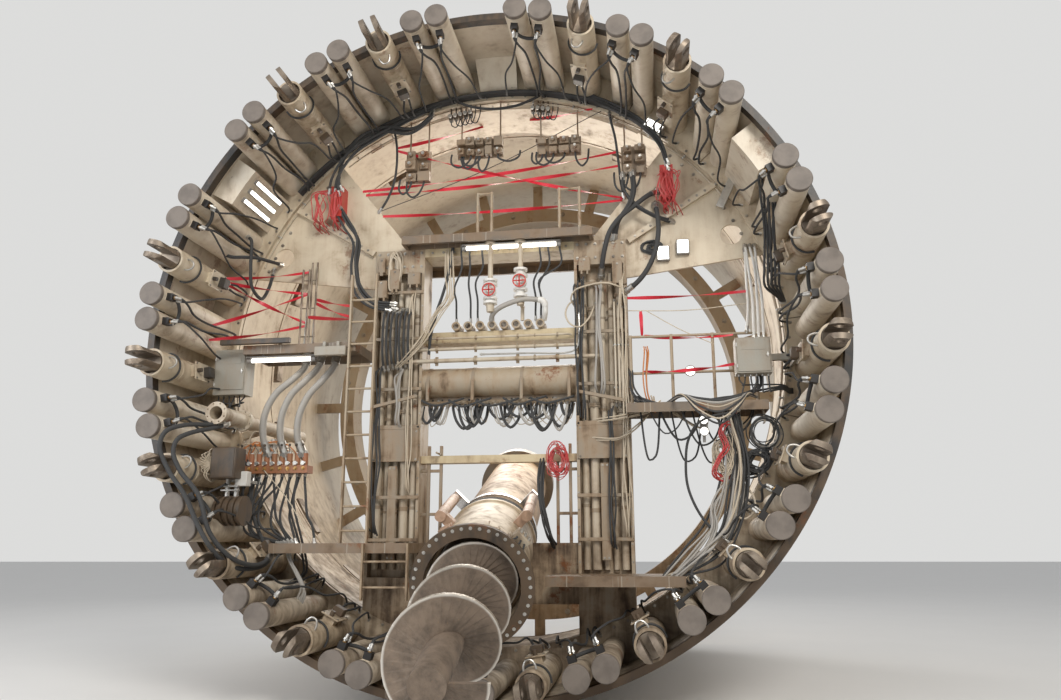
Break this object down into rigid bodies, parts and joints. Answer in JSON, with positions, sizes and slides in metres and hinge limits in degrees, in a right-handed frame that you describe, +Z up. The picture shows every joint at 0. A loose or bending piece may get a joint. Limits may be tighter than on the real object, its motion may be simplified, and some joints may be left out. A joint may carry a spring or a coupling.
{
  "type": "tunnel boring machine middle shield",
  "caption": "Middle shield of a tunnel boring machine seen from its front: thrust jacks, forked steering rams, inner frame, decks, tail skin and a screw conveyor.",
  "frame": {"origin": "On the outside of the hull's belly, in the plane of the front rim, where it rests in its cradle.", "axes": "+Y runs back along the tunnel, +X to the right seen from the front, +Z up."},
  "size_m": [8.7998, 9.6214, 8.7998],
  "materials": {
    "black_paint": "satin",
    "cream_paint": "satin, dirty",
    "frame_paint": "satin, dirty",
    "bare_steel": "oiled",
    "chrome_rod": "polished",
    "worn_steel": "rough, worn bright at the edges",
    "deck_steel": "dirty",
    "grey_paint": "matt",
    "red_paint": "gloss",
    "copper_paint": "dirty",
    "hose_rubber": "matt",
    "lamp_white": "clear"
  },
  "bodies": {
    "shield": {"rim_ring": "black_paint", "middle_skin": "cream_paint", "jack_ring": "cream_paint", "jack_barrels": "cream_paint", "bay_covers": "cream_paint", "ram_barrels": "cream_paint", "tail_joint": "cream_paint", "tail_skin": "cream_paint", "tail_ring": "frame_paint", "columns": "frame_paint", "haunches": "cream_paint", "cross_beams": "cream_paint", "tie_beam": "frame_paint", "top_walkway": "deck_steel", "left_decks": "deck_steel", "right_decks": "deck_steel", "ladders": "frame_paint", "railings": "frame_paint", "pipe_runs": "frame_paint", "valve_row": "frame_paint", "valve_bank": "copper_paint", "control_boxes": "grey_paint", "grease_units": "red_paint", "lamps": "lamp_white", "screw_flange": "black_paint", "screw_casing": "cream_paint", "screw_seal": "hose_rubber", "screw_cradle": "frame_paint", "retract_barrels": "cream_paint", "port_hoses": "hose_rubber", "ring_hoses": "hose_rubber"},
    "top_jacks": {"jack_rods_top": "chrome_rod", "jack_shoes_top": "bare_steel"},
    "top_rams": {"rams_top": "bare_steel"},
    "left_jacks": {"jack_rods_left": "chrome_rod", "jack_shoes_left": "bare_steel"},
    "left_rams": {"rams_left": "bare_steel"},
    "bottom_jacks": {"jack_rods_bottom": "chrome_rod", "jack_shoes_bottom": "bare_steel"},
    "bottom_rams": {"rams_bottom": "bare_steel"},
    "right_jacks": {"jack_rods_right": "chrome_rod", "jack_shoes_right": "bare_steel"},
    "right_rams": {"rams_right": "bare_steel"},
    "screw_carriage": {"screw_tube": "cream_paint", "screw_drive": "grey_paint", "retract_rods": "chrome_rod"},
    "screw": {"auger": "worn_steel"}
  },
  "joints": [
    {"name": "top_jacks_push", "type": "slide", "parent": "shield", "child": "top_jacks", "axis": [0, 1, 0], "range_m": [0, 2.2]},
    {"name": "left_jacks_push", "type": "slide", "parent": "shield", "child": "left_jacks", "axis": [0, 1, 0], "range_m": [0, 2.2]},
    {"name": "bottom_jacks_push", "type": "slide", "parent": "shield", "child": "bottom_jacks", "axis": [0, 1, 0], "range_m": [0, 2.2]},
    {"name": "right_jacks_push", "type": "slide", "parent": "shield", "child": "right_jacks", "axis": [0, 1, 0], "range_m": [0, 2.2]},
    {"name": "top_rams_push", "type": "slide", "parent": "shield", "child": "top_rams", "axis": [0, -1, 0], "range_m": [0, 0.3]},
    {"name": "left_rams_push", "type": "slide", "parent": "shield", "child": "left_rams", "axis": [0, -1, 0], "range_m": [0, 0.3]},
    {"name": "bottom_rams_push", "type": "slide", "parent": "shield", "child": "bottom_rams", "axis": [0, -1, 0], "range_m": [0, 0.3]},
    {"name": "right_rams_push", "type": "slide", "parent": "shield", "child": "right_rams", "axis": [0, -1, 0], "range_m": [0, 0.3]},
    {"name": "screw_draw", "type": "slide", "parent": "shield", "child": "screw_carriage", "axis": [-0.0762, 0.9681, 0.2385], "range_m": [0, 0.9]},
    {"name": "screw_turn", "type": "hinge", "parent": "screw_carriage", "child": "screw", "pos_m": [0.038, -0.515, 1.312], "axis": [-0.0762, 0.9681, 0.2385], "continuous": true}
  ]
}
